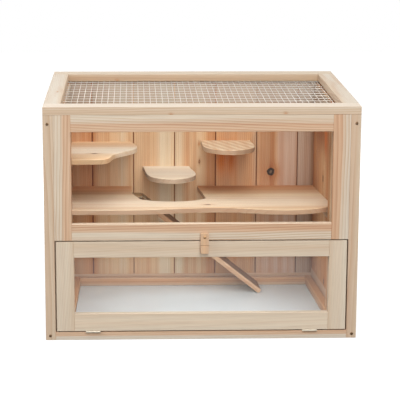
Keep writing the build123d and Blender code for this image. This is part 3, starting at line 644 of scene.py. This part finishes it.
def screw_heads(name, body, radius, rise, seats, finish):
    """Screw heads that ride on a body, each at a seat on the wood and facing away from it."""
    heads = bmesh.new()
    for count, (seat, facing) in enumerate(seats):
        # A grid of five by five faces, rounded to a crowned disc
        head = bmesh.new()
        bmesh.ops.create_grid(head, x_segments=5, y_segments=5, size=1)
        cross = []
        for face in head.faces:
            off = [abs(value) for value in face.calc_center_median()[:2]]
            if min(off) < 0.1 and max(off) < 0.5:
                cross.append(face)
        for vertex in head.verts:
            flat = vertex.co.xy
            ring = max(abs(flat.x), abs(flat.y))
            if ring > 0.9:
                vertex.co.xy = flat.normalized()
            elif ring > 0.5:
                vertex.co.xy = flat.normalized() * 0.66
            else:
                vertex.co.xy = flat * 0.75
            vertex.co.z = 1 - 0.4 * vertex.co.xy.length_squared

        # The recess is pressed into its five middle faces, and the rim goes down to the wood
        sunk = bmesh.ops.extrude_face_region(head, geom=cross)["geom"]
        floor = [part for part in sunk if isinstance(part, bmesh.types.BMVert)]
        bmesh.ops.translate(head, verts=floor, vec=(0, 0, -0.7))
        bmesh.ops.scale(head, verts=floor, vec=(0.8, 0.8, 1))
        border = [edge for edge in head.edges if edge.is_boundary]
        skirt = bmesh.ops.extrude_edge_only(head, edges=border)["geom"]
        bmesh.ops.translate(head, vec=(0, 0, -0.6),
                            verts=[part for part in skirt if isinstance(part, bmesh.types.BMVert)])

        sized = Matrix.Diagonal((radius, radius, rise, 1))
        driven = Matrix.Rotation(count * 0.9, 4, "Z")
        turned = Vector(facing).to_track_quat("Z", "Y").to_matrix().to_4x4()
        head.transform(Matrix.Translation(seat) @ turned @ driven @ sized)
        bmesh.ops.recalc_face_normals(head, faces=head.faces)
        gather(heads, head)
    return mount(name, body, heads, finish)


bronzed = metal("bronzed_screw", tone(84, 65, 49), tone(124, 99, 76), rough=0.42)
wood_screw, post_rise, lid_rise = 0.0028, 0.0012, 0.0011
front_face, side_face, post_column = -0.185, 0.3, 0.2915
post_heights = (0.0085, 0.418)
wall_depths, wall_heights = (-0.158, 0.166), (0.18, 0.3735)
lid_places = ((-0.17, 0.4443), (0.17, 0.4845))
post_seats = [((side * post_column, front_face, height), (0, -1, 0))
              for side in (-1, 1) for height in post_heights]
wall_seats = [((side * side_face, depth, height), (side, 0, 0))
              for side in (-1, 1) for depth in wall_depths for height in wall_heights]
lid_seats = [((side * side_face, depth, height), (side, 0, 0))
             for side in (-1, 1) for depth, height in lid_places]
post_heads = screw_heads("post_screw_heads", "cabinet", wood_screw, post_rise,
                         post_seats + wall_seats, bronzed)
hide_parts("frame_screws")
lid_heads = screw_heads("lid_end_screw_heads", "roof", wood_screw, lid_rise, lid_seats, bronzed)

leaf_screw, ramp_screw, leaf_rise = 0.0019, 0.0022, 0.0007
lid_columns, lid_leaf_face = (-0.217, -0.201, 0.201, 0.217), 0.1859
frame_row, lid_row = 0.4706, 0.4868
strap_columns, strap_rows, strap_face = (-0.158, -0.142), (0.097, 0.119), 0.2356
frame_seats = [((column, lid_leaf_face, frame_row), (0, 1, 0)) for column in lid_columns]
strap_seats = [((column, row, strap_face), (0, 0, -1))
               for column in strap_columns for row in strap_rows]
frame_heads = screw_heads("hinge_screw_heads_frame", "cabinet", leaf_screw, leaf_rise,
                          frame_seats + strap_seats, zinc)
lid_leaf_seats = [((column, lid_leaf_face, lid_row), (0, 1, 0)) for column in lid_columns]
lid_leaf_heads = screw_heads("hinge_screw_heads_lid", "roof", leaf_screw, leaf_rise,
                             lid_leaf_seats, zinc)

ramp_slope, ramp_leaf_lift, ramp_runs = math.radians(38.2), 0.002, (0.010, 0.020)
pin_column, pin_height = -0.11397, 0.2345
down_ramp = Vector((math.cos(ramp_slope), 0, -math.sin(ramp_slope)))
off_ramp = Vector((math.sin(ramp_slope), 0, math.cos(ramp_slope)))
ramp_seats = []
for run in ramp_runs:
    for row in strap_rows:
        pin = Vector((pin_column, row, pin_height))
        ramp_seats.append((pin + run * down_ramp + ramp_leaf_lift * off_ramp, off_ramp))
ramp_heads = screw_heads("hinge_screw_heads_ramp", "ramp", ramp_screw, leaf_rise, ramp_seats, zinc)

# Turn-button
# A warm little fir block on a single screw, turned down over the door's edge to hold it shut. The
# screw is of worn brass and stays in the window's bottom rail.
dress(plank("fir_button", "Z", "X", (-0.003, 0.013),
            bands=((0, salmon), (0.5, tone(208, 172, 136)), (1, salmon)),
            heart=(0.0, -0.15, 0.02, 0.0), lines=0.3, seed=71.0), "turn_button")
brass = metal("worn_brass_screw", tone(150, 116, 84), tone(186, 150, 112), rough=0.4)
button_screw, button_rise = 0.0027, 0.0016
button_seat = ((0.005, -0.1947, 0.2024), (0, -1, 0))
button_head = screw_heads("turn_button_screw_head", "cabinet", button_screw, button_rise,
                          [button_seat], brass)
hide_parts("turn_button_screw")

# Lid
# Front and back fir rails with the side rails between them, over a panel of welded galvanised
# mesh: the line wires run front to back, with the cross wires under them.
pale_knot = tone(112, 72, 46)
# The front rail's upper face carries a painted highlight
dress(plank("fir_lid_front", "X", "Z", (0.4349, 0.4537),
            bands=((0, beige), (0.3, beige), (1, ash_cream)),
            heart=(0.5, -0.14, 0.01, 0.0), lines=0.3, wander=0.002, painted_top_face=tone(213, 200, 184),
            knots=((-0.0593, 0.4360, 0.0014, 1.6, pale_knot, tan),
                   (0.1567, 0.4375, 0.0016, 1.3, pale_knot, tan)), seed=81.0), "roof_rail_front")
dress(plank("fir_lid_back", "X", "Z", (0.4751, 0.4939),
            bands=((0, tone(178, 153, 124)), (0.5, tone(186, 166, 142)), (1, ash_cream)),
            heart=(0.55, 0.12, 0.01, 0.0), lines=0.3, wander=0.002,
            knots=((-0.1642, 0.4772, 0.0016, 1.4, pale_knot, tan),), seed=82.0), "roof_rail_back")
dress(plank("fir_lid_left", "Y", "X", (-0.300, -0.268),
            bands=((0, lid_cream), (0.7, lid_cream), (1, beige)),
            heart=(-0.4, 0.45, 0.0, 0.0), lines=0.2,
            knots=((-0.0385, -0.2799, 0.0016, 2, ember, tan),), seed=83.0), "roof_rail_left")
dress(plank("fir_lid_right", "Y", "X", (0.268, 0.300),
            bands=((0, beige), (0.4, lid_cream), (1, lid_cream)),
            heart=(0.4, 0.45, 0.0, 0.0), lines=0.2, seed=84.0), "roof_rail_right")
# The wires' downward faces carry a painted shade
galvanised = metal("galvanised_wire", tone(203, 198, 189), tone(225, 220, 210), rough=0.4,
                   metallic=0.6, under=tone(58, 55, 51))
dress(galvanised, "mesh_line_wires", "mesh_cross_wires")

# Mesh staples
# Fine wire staples hold the mesh to the lid: a crown under every fourth wire, front and back, and
# under every second one at the sides, with both legs driven up into the rail.
lid_pitch = 0.1189
wire_pitch, line_start, line_under = 0.012, -0.165, 0.43580
cross_pitch, cross_start, cross_under = 0.025, -0.1525, 0.43625
rail_depths, rail_columns = (-0.159, 0.160), (-0.2703, 0.2703)
staple_seats = []
for number in range(-5, 6):
    for depth in rail_depths:
        height = line_under + (depth - line_start) * lid_pitch
        staple_seats.append(((4 * wire_pitch * number, depth, height), 0.0))
for column in rail_columns:
    for number in range(6):
        depth = cross_start + (2 * number + 1) * cross_pitch
        height = cross_under + (depth - cross_start) * lid_pitch
        staple_seats.append(((column, depth, height), math.pi / 2))
crown, leg, bend, wire_radius = 0.0056, 0.0045, 0.0012, 0.00045
staples = bmesh.new()
for seat, turn in staple_seats:
    # The wire's end circle is drawn down one leg, along the crown and up the other leg
    wire = bmesh.new()
    bmesh.ops.create_circle(wire, segments=6, radius=wire_radius,
                            matrix=Matrix.Translation((-crown / 2, 0, leg)))
    end = wire.edges[:]
    for push, elbow in (((0, 0, bend - leg), bend - crown / 2),
                        ((crown - 2 * bend, 0, 0), crown / 2 - bend),
                        ((0, 0, leg - bend), None)):
        drawn = bmesh.ops.extrude_edge_only(wire, edges=end)["geom"]
        fresh = {part for part in drawn if isinstance(part, bmesh.types.BMVert)}
        bmesh.ops.translate(wire, verts=list(fresh), vec=push)
        end = [part for part in drawn
               if isinstance(part, bmesh.types.BMEdge) and set(part.verts) <= fresh]
        if elbow is not None:
            bent = bmesh.ops.spin(wire, geom=end, cent=(elbow, 0, bend), axis=(0, 1, 0),
                                  angle=-math.pi / 2, steps=3)["geom_last"]
            end = [part for part in bent if isinstance(part, bmesh.types.BMEdge)]
    bmesh.ops.recalc_face_normals(wire, faces=wire.faces)
    tilt = Matrix.Rotation(math.atan(lid_pitch), 4, "X")
    wire.transform(Matrix.Translation(seat) @ tilt @ Matrix.Rotation(turn, 4, "Z"))
    gather(staples, wire)
mesh_staples = mount("mesh_staples", "roof", staples, galvanised)

# Studio
# A pale floor, a white surround and large soft lamps all round: a high one in front, weaker ones
# at the front, sides, back and top, and two small ones for light thrown about in the two rooms.
scene = bpy.context.scene
scene.view_settings.view_transform = "Standard"
world = scene.world or bpy.data.worlds.new("surround")
scene.world = world
world.use_nodes = True
sky = world.node_tree
sky.nodes.clear()
seen = sky.nodes.new("ShaderNodeBackground")
seen.inputs["Color"].default_value = (1, 1, 1, 1)
seen.inputs["Strength"].default_value = 1
soft = sky.nodes.new("ShaderNodeBackground")
soft.inputs["Color"].default_value = (1, 0.99, 0.975, 1)
soft.inputs["Strength"].default_value = 0.18
path = sky.nodes.new("ShaderNodeLightPath")
either = sky.nodes.new("ShaderNodeMath")
either.operation = "MAXIMUM"
both = sky.nodes.new("ShaderNodeMath")
both.operation = "MAXIMUM"
choice = sky.nodes.new("ShaderNodeMixShader")
surround = sky.nodes.new("ShaderNodeOutputWorld")
sky.links.new(path.outputs["Is Camera Ray"], either.inputs[0])
sky.links.new(path.outputs["Is Glossy Ray"], either.inputs[1])
sky.links.new(either.outputs[0], both.inputs[0])
sky.links.new(path.outputs["Is Transmission Ray"], both.inputs[1])
sky.links.new(both.outputs[0], choice.inputs[0])
sky.links.new(soft.outputs[0], choice.inputs[1])
sky.links.new(seen.outputs[0], choice.inputs[2])
sky.links.new(choice.outputs[0], surround.inputs["Surface"])

ground = bmesh.new()
bmesh.ops.create_grid(ground, x_segments=1, y_segments=1, size=12)
ground_mesh = bpy.data.meshes.new("studio_floor")
ground.to_mesh(ground_mesh)
ground.free()
studio_floor = bpy.data.objects.new("studio_floor", ground_mesh)
scene.collection.objects.link(studio_floor)
paper = bpy.data.materials.new("studio_paper")
paper.use_nodes = True
paper_tree = paper.node_tree
paper_tree.nodes.clear()
matt = paper_tree.nodes.new("ShaderNodeBsdfDiffuse")
matt.inputs["Color"].default_value = (0.32, 0.32, 0.32, 1)
lift = paper_tree.nodes.new("ShaderNodeEmission")
lift.inputs["Color"].default_value = (1, 1, 1, 1)
paper_path = paper_tree.nodes.new("ShaderNodeLightPath")
paper_place = paper_tree.nodes.new("ShaderNodeTexCoord")
paper_away = paper_tree.nodes.new("ShaderNodeVectorMath")
paper_away.operation = "LENGTH"
paper_fade = paper_tree.nodes.new("ShaderNodeMapRange")
paper_fade.inputs["From Min"].default_value = 0.5
paper_fade.inputs["From Max"].default_value = 1.6
paper_fade.inputs["To Min"].default_value = 0.76
paper_fade.inputs["To Max"].default_value = 1
paper_seen = paper_tree.nodes.new("ShaderNodeMath")
paper_seen.operation = "MULTIPLY"
both_lights = paper_tree.nodes.new("ShaderNodeAddShader")
paper_out = paper_tree.nodes.new("ShaderNodeOutputMaterial")
paper_tree.links.new(paper_place.outputs["Object"], paper_away.inputs[0])
paper_tree.links.new(paper_away.outputs["Value"], paper_fade.inputs[0])
paper_tree.links.new(paper_path.outputs["Is Camera Ray"], paper_seen.inputs[0])
paper_tree.links.new(paper_fade.outputs[0], paper_seen.inputs[1])
paper_tree.links.new(paper_seen.outputs[0], lift.inputs["Strength"])
paper_tree.links.new(matt.outputs[0], both_lights.inputs[0])
paper_tree.links.new(lift.outputs[0], both_lights.inputs[1])
paper_tree.links.new(both_lights.outputs[0], paper_out.inputs["Surface"])
studio_floor.data.materials.append(paper)


def lamp(name, place, aim, size, power):
    """A soft lamp at a place, facing a point, its size wide and high, and its power in watts."""
    light = bpy.data.lights.new(name, "AREA")
    light.shape = "RECTANGLE"
    light.size, light.size_y = size
    light.energy = power
    stand = bpy.data.objects.new(name, light)
    stand.location = place
    stand.rotation_euler = (Vector(aim) - Vector(place)).to_track_quat("-Z", "Y").to_euler()
    scene.collection.objects.link(stand)
    stand.visible_camera = False


lamp("key_lamp", (0.35, -2.2, 2.35), (0, 0, 0.25), (1.3, 1.3), 51)
lamp("front_lamp", (0.3, -3.4, 0.9), (0, 0, 0.2), (1.6, 1.2), 36)
lamp("left_lamp", (-2.4, -0.9, 1.9), (0, 0, 0.3), (1.3, 1.3), 32)
lamp("right_lamp", (2.5, 0.9, 0.9), (0, 0, 0.25), (1.3, 1.0), 34)
lamp("rear_lamp", (-1.3, 2.4, 0.9), (0, 0, 0.25), (1.3, 1.0), 44)
lamp("top_lamp", (-0.1, -0.3, 2.4), (0, 0, 0.25), (1.3, 1.3), 14)
lamp("room_lamp", (-0.06, -0.122, 0.4), (-0.06, -0.01, 0.25), (0.3, 0.07), 0.152)
lamp("low_lamp", (-0.01, -0.05, 0.222), (-0.01, -0.02, 0.0), (0.4, 0.18), 0.42)

# Camera
# Set at the height and distance from which the photograph was taken: a long lens a little to the
# left of the cage, turned slightly towards it, with the frame shifted sideways to hold all of it.
lens = bpy.data.cameras.new("camera")
lens.sensor_width = 36
lens.lens = 109.1
lens.shift_x = 0.08
camera = bpy.data.objects.new("camera", lens)
camera.location = (-0.1308, -2.4522, 0.6517)
camera.rotation_euler = (math.radians(80.52), 0, math.radians(-1.666))
scene.collection.objects.link(camera)
scene.camera = camera
